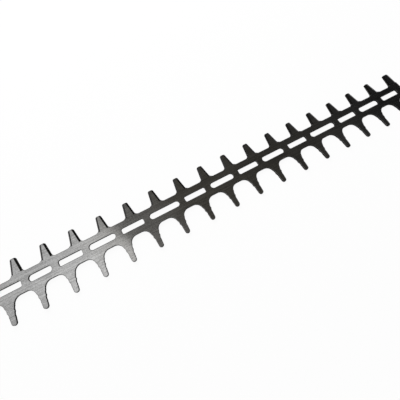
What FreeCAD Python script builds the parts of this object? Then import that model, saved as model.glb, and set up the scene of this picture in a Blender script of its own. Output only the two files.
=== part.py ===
import FreeCAD, Part
import math
import os
from FreeCAD import Vector

# Hedge trimmer blade: one flat plate of spring steel, stamped in one piece.
# X runs along the blade from the drive eye to the nose, on the line of the slots.
# Y runs across it towards the cutting teeth. Z runs up from the flat underside.
# The origin is the centre of the drive eye, on the underside. All sizes are in mm.

# Plate and rows of teeth
plate_thickness = 2.0
tooth_pitch = 35.0
teeth_per_row = 17
row_stagger = tooth_pitch / 2
drive_eye_to_first_tooth = 90.0

# Cutting teeth, on the +Y side, measured from the line of the slots
cutting_tip_reach = 31.7
cutting_edge_reach = 11.8
cutting_tip_width = 6.7
cutting_root_width = 13.3
cutting_root_radius = 4.8
cutting_tip_radius = 1.7
bevel_width = 2.2
bevel_depth = 0.7
bevel_run_in_angle = 33.0

# Guard teeth, on the -Y side: a longer, round-tipped finger on a base with scalloped flanks
guard_tip_reach = 39.4
guard_edge_reach = 11.4
guard_tip_width = 5.6
finger_length = 8.6
finger_base_width = 6.6
guard_flank_angle = 9.6
guard_root_radius = 8.9
scallop_pitch = 5.6
scallop_depth = 0.53

# Slots on the centre line: round-ended ones for the guide bolts, square-ended windows between
guide_slot_width = 7.7
guide_slot_short = 26.8
guide_slot_length = 32.8
guide_slot_long = 39.7
window_width = 7.2
window_length = 28.5
window_corner_radius = 1.9
least_slot_web = 6.0
first_window_before_tooth = 27.4
last_window_before_tooth = 3.0

# Nose, which is the last cutting tooth's wider outer side, and drive end
nose_tip_width = 9.6
nose_tip_radius = 3.5
nose_angle = 3.5
nose_corner_radius = 4.0
shank_width = 20.0
drive_eye_radius = 5.0

SLOT_LENGTHS = {
    "window": window_length,
    "short": guide_slot_short,
    "guide": guide_slot_length,
    "long": guide_slot_long,
}
GUIDE_CYCLE = ["guide", "long", "guide"]

up = Vector(0, 0, 1)
least_edge = 1e-6


def tangent_arc(before, corner, after, radius):
    """The start, middle and end of the arc that rounds a corner."""
    back = (before - corner).normalize()
    ahead = (after - corner).normalize()
    half = back.getAngle(ahead) / 2
    reach = radius / math.tan(half)
    inward = (back + ahead).normalize()
    middle = corner + inward * (radius / math.sin(half) - radius)
    return corner + back * reach, middle, corner + ahead * reach


def scalloped_edges(start, end):
    """A flank with a row of shallow hollows, as many as fit, centred on its straight part."""
    along = (end - start).normalize()
    inward = up.cross(along)
    count = int((end - start).Length // scallop_pitch)
    lead = ((end - start).Length - count * scallop_pitch) / 2
    points = [start + along * (lead + i * scallop_pitch) for i in range(count + 1)]
    edges = [Part.LineSegment(start, points[0]).toShape()]
    for first, last in zip(points, points[1:]):
        bottom = (first + last) * 0.5 + inward * scallop_depth
        edges.append(Part.Arc(first, bottom, last).toShape())
    edges.append(Part.LineSegment(points[-1], end).toShape())
    return edges


def rounded_wire(corners):
    """A closed outline, anticlockwise, from (x, y, radius, is the next side scalloped)."""
    points = [Vector(x, y, 0) for x, y, radius, scalloped in corners]
    count = len(points)
    arcs = []
    for i, (x, y, radius, scalloped) in enumerate(corners):
        arcs.append(tangent_arc(points[i - 1], points[i], points[(i + 1) % count], radius))
    edges = []
    for i, (x, y, radius, scalloped) in enumerate(corners):
        start, middle, end = arcs[i]
        following = arcs[(i + 1) % count][0]
        if radius > 0:
            edges.append(Part.Arc(start, middle, end).toShape())
        if scalloped:
            edges += scalloped_edges(end, following)
        elif (following - end).Length > least_edge:
            edges.append(Part.LineSegment(end, following).toShape())
    return Part.Wire(edges)


def plate_from(wire, bottom, height):
    """A flat solid of the outline, from the level of its underside up."""
    solid = Part.Face(wire).extrude(Vector(0, 0, height))
    solid.translate(Vector(0, 0, bottom))
    return solid


cutting_x = [drive_eye_to_first_tooth + i * tooth_pitch for i in range(teeth_per_row)]
guard_x = [x - row_stagger for x in cutting_x]
shank_half = shank_width / 2
guard_slope = math.tan(math.radians(guard_flank_angle))
nose_slope = math.tan(math.radians(nose_angle))
cutting_tip_half = cutting_tip_width / 2
cutting_root_half = cutting_root_width / 2
cutting_slope = (cutting_root_half - cutting_tip_half) / (cutting_tip_reach - cutting_edge_reach)
guard_tip_half = guard_tip_width / 2
finger_base_half = finger_base_width / 2
finger_base_reach = guard_tip_reach - finger_length
finger_taper = math.atan2(finger_base_half - guard_tip_half, finger_length)
guard_tip_radius = guard_tip_half * math.tan(math.pi / 4 + finger_taper / 2)
nose_tip_x = cutting_x[-1] - cutting_tip_half + nose_tip_width
nose_foot_x = nose_tip_x + (cutting_tip_reach - cutting_edge_reach) * nose_slope
nose_end_x = nose_tip_x + (cutting_tip_reach + guard_edge_reach) * nose_slope


def flank_foot(tip_half, tip_reach, slope, level):
    """Half the width of a tooth where its flank meets an edge at that reach."""
    return tip_half + (tip_reach - level) * slope


# Outline: the rounded drive end, the guard teeth, the nose, then the cutting teeth.
# The first tooth of each row runs down to the shank's edge, which lies a little lower.
corners = [
    (-shank_half, shank_half, shank_half, False),
    (-shank_half, -shank_half, shank_half, False),
]
for x in guard_x:
    level = shank_half if x == guard_x[0] else guard_edge_reach
    left_foot = flank_foot(finger_base_half, finger_base_reach, guard_slope, level)
    right_foot = flank_foot(finger_base_half, finger_base_reach, guard_slope, guard_edge_reach)
    corners += [
        (x - left_foot, -level, guard_root_radius, True),
        (x - finger_base_half, -finger_base_reach, 0, False),
        (x - guard_tip_half, -guard_tip_reach, guard_tip_radius, False),
        (x + guard_tip_half, -guard_tip_reach, guard_tip_radius, False),
        (x + finger_base_half, -finger_base_reach, 0, True),
        (x + right_foot, -guard_edge_reach, guard_root_radius, False),
    ]
corners.append((nose_end_x, -guard_edge_reach, nose_corner_radius, False))
corners.append((nose_tip_x, cutting_tip_reach, nose_tip_radius, False))
for x in reversed(cutting_x):
    level = shank_half if x == cutting_x[0] else cutting_edge_reach
    left_foot = flank_foot(cutting_tip_half, cutting_tip_reach, cutting_slope, level)
    if x != cutting_x[-1]:
        corners.append((x + cutting_root_half, cutting_edge_reach, cutting_root_radius, False))
        corners.append((x + cutting_tip_half, cutting_tip_reach, cutting_tip_radius, False))
    corners.append((x - cutting_tip_half, cutting_tip_reach, cutting_tip_radius, False))
    corners.append((x - left_foot, level, cutting_root_radius, False))
blade = plate_from(rounded_wire(corners), 0, plate_thickness)


def slot_wire(kind, left):
    """One slot from its left end: round at both ends, or square with rounded corners."""
    right = left + SLOT_LENGTHS[kind]
    if kind == "window":
        half = window_width / 2
        return rounded_wire([
            (left, -half, window_corner_radius, False),
            (right, -half, window_corner_radius, False),
            (right, half, window_corner_radius, False),
            (left, half, window_corner_radius, False),
        ])
    half = guide_slot_width / 2
    low_left, low_right = Vector(left + half, -half, 0), Vector(right - half, -half, 0)
    top_left, top_right = Vector(left + half, half, 0), Vector(right - half, half, 0)
    return Part.Wire([
        Part.LineSegment(low_left, low_right).toShape(),
        Part.Arc(low_right, Vector(right, 0, 0), top_right).toShape(),
        Part.LineSegment(top_right, top_left).toShape(),
        Part.Arc(top_left, Vector(left, 0, 0), low_left).toShape(),
    ])


def slot_kind(i):
    """Windows and guide slots by turns from the drive end, with every third guide slot long."""
    if i % 2 == 0:
        return "window"
    return "short" if i == 1 else GUIDE_CYCLE[(i // 2 - 1) % len(GUIDE_CYCLE)]


# The row of slots: as many as the bar has room for, spread evenly up to the nose
row_start = cutting_x[0] - first_window_before_tooth
row_room = cutting_x[-1] - last_window_before_tooth - row_start
slot_row = ["window"]
slots_length = window_length
while True:
    kind = slot_kind(len(slot_row))
    if slots_length + SLOT_LENGTHS[kind] + len(slot_row) * least_slot_web > row_room:
        break
    slot_row.append(kind)
    slots_length += SLOT_LENGTHS[kind]
slot_web = (row_room - slots_length) / (len(slot_row) - 1)

# Slots and drive eye, cut through the plate with room to spare on both faces
cut_past = plate_thickness
cuts = []
slot_x = row_start
for kind in slot_row:
    cuts.append(plate_from(slot_wire(kind, slot_x), -cut_past, plate_thickness + 2 * cut_past))
    slot_x += SLOT_LENGTHS[kind] + slot_web
cuts.append(
    Part.makeCylinder(drive_eye_radius, plate_thickness + 2 * cut_past, Vector(0, 0, -cut_past))
)
blade = blade.cut(cuts)

# The bevels start a little way round the curve at a cutting tooth's root
bevel_run_in = cutting_root_radius * math.sin(math.radians(bevel_run_in_angle))
bevel_flare = cutting_root_radius * (1 - math.cos(math.radians(bevel_run_in_angle)))


def bevel_tool(root, tip, side):
    """The wedge ground off the top edge of a cutting tooth's flank, on its -X or +X side."""
    along = (tip - root).normalize()
    outward = Vector(along.y, -along.x, 0) * side
    curve_end = tangent_arc(tip, root, root + Vector(side, 0, 0), cutting_root_radius)[0]
    base = curve_end - along * bevel_run_in
    spare = 0.5
    reach = bevel_flare + spare
    fall = bevel_depth / bevel_width
    inner = outward * (-bevel_width - spare) + up * (plate_thickness + spare * fall)
    low = outward * reach + up * (plate_thickness - bevel_depth - reach * fall)
    high = outward * reach + up * (plate_thickness + spare * fall)
    triangle = Part.makePolygon([base + inner, base + low, base + high, base + inner])
    length = (tip - base).Length + cutting_tip_width
    return Part.Face(triangle).extrude(along * length)


# Ground bevels on both flanks of every cutting tooth, the nose too
bevels = []
for x in cutting_x:
    for side in (-1, 1):
        tip = Vector(x + side * cutting_tip_half, cutting_tip_reach, 0)
        root = Vector(x + side * cutting_root_half, cutting_edge_reach, 0)
        if x == cutting_x[-1] and side == 1:
            tip = Vector(nose_tip_x, cutting_tip_reach, 0)
            root = Vector(nose_foot_x, cutting_edge_reach, 0)
        bevels.append(bevel_tool(root, tip, side))
blade = blade.cut(bevels)
if len(blade.Solids) == 1:
    blade = blade.Solids[0]

os.makedirs("parts", exist_ok=True)
blade.exportStep("parts/blade.step")
print("overall", blade.BoundBox)
print("volume", blade.Volume, "valid", blade.isValid(), "solids", len(blade.Solids))
print("slots", len(slot_row), "web", slot_web, "start", row_start)
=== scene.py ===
import math

import bpy
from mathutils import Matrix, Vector

# Camera of the photograph: place in metres, turn in degrees, lens and sensor in mm
CAMERA_PLACE = (0.25304, -0.11392, 0.33510)
CAMERA_TURN = (19.973, -0.532, -28.927)
CAMERA_LENS = 25.65
CAMERA_SENSOR = 36.0

# Floor: where its middle is along the blade, its size and how far it lies under the blade, in metres,
# its colour, and the share of it that is plain white to the eye
FLOOR_MIDDLE = 0.3
FLOOR_SIZE = 40.0
FLOOR_DROP = 0.0003
FLOOR_COLOUR = (0.90, 0.90, 0.90, 1.0)
FLOOR_GLOW_SHARE = 0.94
WHITE = (1.0, 1.0, 1.0, 1.0)

# Soft lamp behind the blade: place, aim and size in metres, power in watts
LAMP_PLACE = (0.25, 1.70, 0.80)
LAMP_AIM = (0.20, 0.0, 0.0)
LAMP_SIZE = 1.2
LAMP_POWER = 46.0

# Studio ceiling, bright on the drive side and dark on the nose side, with its line turned about Z
# by these degrees: place from one side (0) to the other (1), grey and warmth
CEILING_TURN = 25.0
CEILING = [
    (0.00, 0.95, 0.0),
    (0.22, 1.00, 0.0),
    (0.27, 0.84, 0.0),
    (0.33, 0.56, 0.0),
    (0.365, 0.755, 0.0),
    (0.44, 0.86, 0.0),
    (0.48, 0.86, 0.1),
    (0.504, 0.755, 0.2),
    (0.516, 0.175, 0.3),
    (0.57, 0.165, 0.4),
    (0.62, 0.075, 1.0),
    (0.69, 0.065, 0.9),
    (0.76, 0.045, 0.9),
    (0.83, 0.041, 0.4),
    (0.88, 0.014, 0.0),
    (1.00, 0.010, 0.0),
]
WARM_TINT = (1.07, 1.0, 0.85)

# The ceiling falls to this share over the photographer, between these Y directions
FRONT_SHARE = 0.35
FRONT_FROM, FRONT_TO = 0.0, -0.30

# Its bright side, which ends between these places, falls to this share towards the back,
# between these Y directions
BRIGHT_TO, DARK_FROM = 0.504, 0.516
BACK_SHARE = 0.80
BACK_FROM, BACK_TO = 0.285, 0.335

# The ceiling gives way to the white backdrop between these Z directions
BACKDROP_FROM, BACKDROP_TO = 0.60, 0.10

# Steel: the lightest and darkest of the flat faces, then the cut edges, near-black as partly dark cut
# steel and partly painted shade, the bevels, whose dark steel is painted shade, and the rolled edges,
# whose darker band is painted shade
STEEL_COLOUR = (0.70, 0.70, 0.697, 1.0)
STEEL_DARK = (0.38, 0.38, 0.377, 1.0)
CUT_EDGE_DARK_AND_SHADE = (0.015, 0.0148, 0.0145, 1.0)
BEVEL_SHADE_COLOUR = (0.066, 0.065, 0.064, 1.0)
ROLLED_EDGE_SHADE = (0.160, 0.159, 0.157, 1.0)

# How level a surface is, as its normal's Z, where bevels and flat faces begin and are full
BEVEL_FROM, BEVEL_FULL = 0.25, 0.60
FLAT_FROM, FLAT_FULL = 0.97, 0.99

# Texture of the flat faces: waves to the metre along X, Y and Z, and layers of detail
FINE_LINES = ((25.0, 4200.0, 4200.0), 3.0)
BROAD_LINES = ((14.0, 560.0, 560.0), 3.0)
GRAIN = ((560.0, 900.0, 900.0), 2.0)
CLOUD = ((40.0, 70.0, 70.0), 5.0)

# Share of fine lines among the lines, of grain in the blotches, and of lines in the whole tone,
# and the tones that give the darkest and lightest steel
FINE_SHARE = 0.40
GRAIN_SHARE = 0.68
LINES_SHARE = 0.51
TONE_DARK, TONE_LIGHT = 0.42, 0.58

# Roughness of the flat faces between two tones, and of the bevels and cut edges
ROUGH_TONES = (0.3, 0.7)
ROUGH_FACE = (0.07, 0.12)
ROUGH_EDGE = 0.20

# Relief of the lines, with its depth in metres
RELIEF_STRENGTH = 0.12
RELIEF_DEPTH = 0.00005

# Slightly rolled edge that stamping leaves on the plate, as a radius in metres,
# and the cosines of the turn from which it begins and is full, so that a bevel's crease stays sharp
EDGE_ROLL = 0.0016
EDGE_SAMPLES = 12
ROLL_FROM, ROLL_FULL = 0.985, 0.95

# Numbers of a mix node's two inputs and its output, for each kind of data
MIX_SOCKETS = {"FLOAT": (2, 3, 0), "VECTOR": (4, 5, 1), "RGBA": (6, 7, 2)}

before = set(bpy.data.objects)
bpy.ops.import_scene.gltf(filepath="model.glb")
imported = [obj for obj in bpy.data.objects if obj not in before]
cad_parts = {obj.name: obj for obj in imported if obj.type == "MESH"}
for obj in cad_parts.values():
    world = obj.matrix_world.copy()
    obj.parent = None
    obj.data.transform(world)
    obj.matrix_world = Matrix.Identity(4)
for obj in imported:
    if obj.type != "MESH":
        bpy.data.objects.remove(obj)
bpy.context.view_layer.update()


def material(name):
    """A new node material with an empty tree."""
    made = bpy.data.materials.new(name)
    made.use_nodes = True
    made.node_tree.nodes.clear()
    return made


def feed(tree, socket, value):
    """Set a socket to a number, vector or colour, or link another socket to it."""
    if isinstance(value, (int, float, tuple)):
        socket.default_value = value
    else:
        tree.links.new(value, socket)


def add(tree, kind, sockets=None, **settings):
    """A node of that kind, with settings by name and sockets by number or name."""
    node = tree.nodes.new(kind)
    for name, value in settings.items():
        setattr(node, name, value)
    for key, value in (sockets or {}).items():
        feed(tree, node.inputs[key], value)
    return node


def math_node(tree, operation, first, second):
    """One sum of two values, each a socket or a number."""
    return add(tree, "ShaderNodeMath", {0: first, 1: second}, operation=operation).outputs[0]


def mix(tree, kind, share, first, second):
    """A number, vector or colour between two, each a socket or given outright."""
    first_at, second_at, result_at = MIX_SOCKETS[kind]
    sockets = {0: share, first_at: first, second_at: second}
    return add(tree, "ShaderNodeMix", sockets, data_type=kind).outputs[result_at]


def weighted(tree, share, first, second):
    """Two values added up, the first by its share and the second by the rest."""
    part = math_node(tree, "MULTIPLY", first, share)
    rest = math_node(tree, "MULTIPLY", second, 1.0 - share)
    return math_node(tree, "ADD", part, rest)


def stretched_noise(tree, place, stretch, detail):
    """Noise over the object, with its own fineness along each axis."""
    scaled = add(tree, "ShaderNodeMapping", {"Vector": place, "Scale": stretch})
    sockets = {"Vector": scaled.outputs[0], "Scale": 1.0, "Detail": detail}
    return add(tree, "ShaderNodeTexNoise", sockets).outputs["Fac"]


def ramp(tree, value, low, high, to_low=0.0, to_high=1.0):
    """A value moved from one range to another and held inside it."""
    sockets = {"Value": value, "From Min": low, "From Max": high, "To Min": to_low, "To Max": to_high}
    return add(tree, "ShaderNodeMapRange", sockets, clamp=True).outputs[0]


def seen_ray(tree):
    """1 for camera and mirror rays, to which the floor is white."""
    path = add(tree, "ShaderNodeLightPath")
    return math_node(tree, "MAXIMUM", path.outputs["Is Camera Ray"], path.outputs["Is Glossy Ray"])


def ground_steel():
    """Bright flat-ground faces with lines along the blade, ground bevels in a dark steel that is painted
    shade, cut edges in a near-black that is partly dark cut steel and partly painted shade, and a darker
    band of painted shade along the rolled edges of the faces.
    """
    made = material("ground_steel")
    tree = made.node_tree
    place = add(tree, "ShaderNodeTexCoord")
    facing = add(tree, "ShaderNodeSeparateXYZ", {0: place.outputs["Normal"]})
    level = math_node(tree, "ABSOLUTE", facing.outputs["Z"], 0.0)
    flat = ramp(tree, level, FLAT_FROM, FLAT_FULL)
    bevel = ramp(tree, level, BEVEL_FROM, BEVEL_FULL)

    spot = place.outputs["Object"]
    fine, broad, grain, cloud = [
        stretched_noise(tree, spot, stretch, detail)
        for stretch, detail in (FINE_LINES, BROAD_LINES, GRAIN, CLOUD)
    ]
    lines = weighted(tree, FINE_SHARE, fine, broad)
    blotch = weighted(tree, GRAIN_SHARE, grain, cloud)
    tone = weighted(tree, LINES_SHARE, lines, blotch)
    face = mix(tree, "RGBA", ramp(tree, tone, TONE_DARK, TONE_LIGHT), STEEL_DARK, STEEL_COLOUR)
    # Painted shade: the bevels get a dark steel, and the cut edges a near-black that is partly their own
    # dark cut steel and partly painted shade
    edge = mix(tree, "RGBA", bevel, CUT_EDGE_DARK_AND_SHADE, BEVEL_SHADE_COLOUR)
    sharp = mix(tree, "RGBA", flat, edge, face)

    surface = add(tree, "ShaderNodeNewGeometry").outputs["Normal"]
    rounded = add(tree, "ShaderNodeBevel", {"Radius": EDGE_ROLL}, samples=EDGE_SAMPLES).outputs["Normal"]
    turned = add(tree, "ShaderNodeVectorMath", {0: surface, 1: rounded}, operation="DOT_PRODUCT")
    roll = ramp(tree, turned.outputs["Value"], ROLL_FULL, ROLL_FROM, 1.0, 0.0)
    rolled = mix(tree, "VECTOR", roll, surface, rounded)
    # Painted shade: where the edge rolls, the flat faces take a darker band of steel along their edges
    painted_edge_shade = math_node(tree, "MULTIPLY", roll, flat)

    relief = {"Strength": RELIEF_STRENGTH, "Distance": RELIEF_DEPTH, "Height": lines, "Normal": rolled}
    finish = {
        "Specular IOR Level": 0.0,
        "Metallic": math_node(tree, "MAXIMUM", flat, bevel),
        "Base Color": mix(tree, "RGBA", painted_edge_shade, sharp, ROLLED_EDGE_SHADE),
        "Roughness": mix(tree, "FLOAT", flat, ROUGH_EDGE, ramp(tree, tone, *ROUGH_TONES, *ROUGH_FACE)),
        "Normal": add(tree, "ShaderNodeBump", relief).outputs[0],
    }
    shader = add(tree, "ShaderNodeBsdfPrincipled", finish)
    add(tree, "ShaderNodeOutputMaterial", {"Surface": shader.outputs[0]})
    return made


def floor_material():
    """White studio floor: mostly plain white to the eye, with the object's soft shadow left in."""
    made = material("studio_floor")
    tree = made.node_tree
    plain = add(tree, "ShaderNodeBsdfDiffuse", {"Color": FLOOR_COLOUR})
    glow = add(tree, "ShaderNodeEmission", {"Color": WHITE, "Strength": 1.0})
    share = math_node(tree, "MULTIPLY", seen_ray(tree), FLOOR_GLOW_SHARE)
    both = add(tree, "ShaderNodeMixShader", {0: share, 1: plain.outputs[0], 2: glow.outputs[0]})
    add(tree, "ShaderNodeOutputMaterial", {"Surface": both.outputs[0]})
    return made


def ceiling_greys(tree, spot):
    """The ceiling's colour from one side to the other."""
    greys = add(tree, "ShaderNodeValToRGB", {0: spot})
    stops = greys.color_ramp.elements
    for row in CEILING[1:-1]:
        stops.new(row[0])
    for stop, (place, grey, warmth) in zip(stops, CEILING):
        tint = [1.0 + warmth * (part - 1.0) for part in WARM_TINT]
        stop.position = place
        stop.color = [grey * part for part in tint] + [1.0]
    return greys.outputs[0]


def studio_world():
    """A studio ceiling, bright on the drive side, dark on the nose side and dim over the photographer,
    above a low white backdrop all round. To the camera it is plain white."""
    world = bpy.data.worlds.new("studio")
    bpy.context.scene.world = world
    world.use_nodes = True
    tree = world.node_tree
    tree.nodes.clear()
    ray = add(tree, "ShaderNodeTexCoord").outputs["Generated"]
    way = add(tree, "ShaderNodeSeparateXYZ", {0: ray})
    turn = {"Vector": ray, "Angle": math.radians(-CEILING_TURN)}
    turned = add(tree, "ShaderNodeVectorRotate", turn, rotation_type="Z_AXIS")
    along = add(tree, "ShaderNodeSeparateXYZ", {0: turned.outputs[0]})
    spot = ramp(tree, along.outputs["X"], -1.0, 1.0)

    front = ramp(tree, way.outputs["Y"], FRONT_TO, FRONT_FROM, FRONT_SHARE, 1.0)
    bright = ramp(tree, spot, BRIGHT_TO, DARK_FROM, 1.0, 0.0)
    fall = ramp(tree, way.outputs["Y"], BACK_FROM, BACK_TO, 1.0, BACK_SHARE)
    share = math_node(tree, "MULTIPLY", front, mix(tree, "FLOAT", bright, 1.0, fall))
    dimmed = {0: ceiling_greys(tree, spot), "Scale": share}
    ceiling = add(tree, "ShaderNodeVectorMath", dimmed, operation="SCALE")

    backdrop = ramp(tree, way.outputs["Z"], BACKDROP_TO, BACKDROP_FROM, 1.0, 0.0)
    path = add(tree, "ShaderNodeLightPath")
    white = math_node(tree, "MAXIMUM", path.outputs["Is Camera Ray"], backdrop)
    colour = mix(tree, "RGBA", white, ceiling.outputs[0], WHITE)
    sky = add(tree, "ShaderNodeBackground", {"Color": colour, "Strength": 1.0})
    add(tree, "ShaderNodeOutputWorld", {"Surface": sky.outputs[0]})


def add_floor():
    """A wide pale floor just under the blade."""
    bpy.ops.mesh.primitive_plane_add(size=FLOOR_SIZE, location=(FLOOR_MIDDLE, 0.0, -FLOOR_DROP))
    floor = bpy.context.object
    floor.name = "floor"
    floor.data.materials.append(floor_material())


def add_lamp():
    """One large soft lamp behind the blade. Mirror rays don't see it, so it can't wash out the faces."""
    data = bpy.data.lights.new("soft_lamp", "AREA")
    data.shape = "DISK"
    data.size = LAMP_SIZE
    data.energy = LAMP_POWER
    lamp = bpy.data.objects.new("soft_lamp", data)
    lamp.location = LAMP_PLACE
    aim = Vector(LAMP_AIM) - Vector(LAMP_PLACE)
    lamp.rotation_euler = aim.to_track_quat("-Z", "Y").to_euler()
    lamp.visible_glossy = False
    bpy.context.scene.collection.objects.link(lamp)


def add_camera():
    """The photograph's camera."""
    data = bpy.data.cameras.new("photo_camera")
    data.lens = CAMERA_LENS
    data.sensor_width = CAMERA_SENSOR
    data.sensor_fit = "HORIZONTAL"
    camera = bpy.data.objects.new("photo_camera", data)
    camera.location = CAMERA_PLACE
    camera.rotation_euler = [math.radians(turn) for turn in CAMERA_TURN]
    bpy.context.scene.collection.objects.link(camera)
    bpy.context.scene.camera = camera


bpy.context.scene.view_settings.view_transform = "Standard"
studio_world()
add_floor()
add_lamp()
add_camera()

steel = ground_steel()
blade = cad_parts["blade"]
blade.data.materials.clear()
blade.data.materials.append(steel)
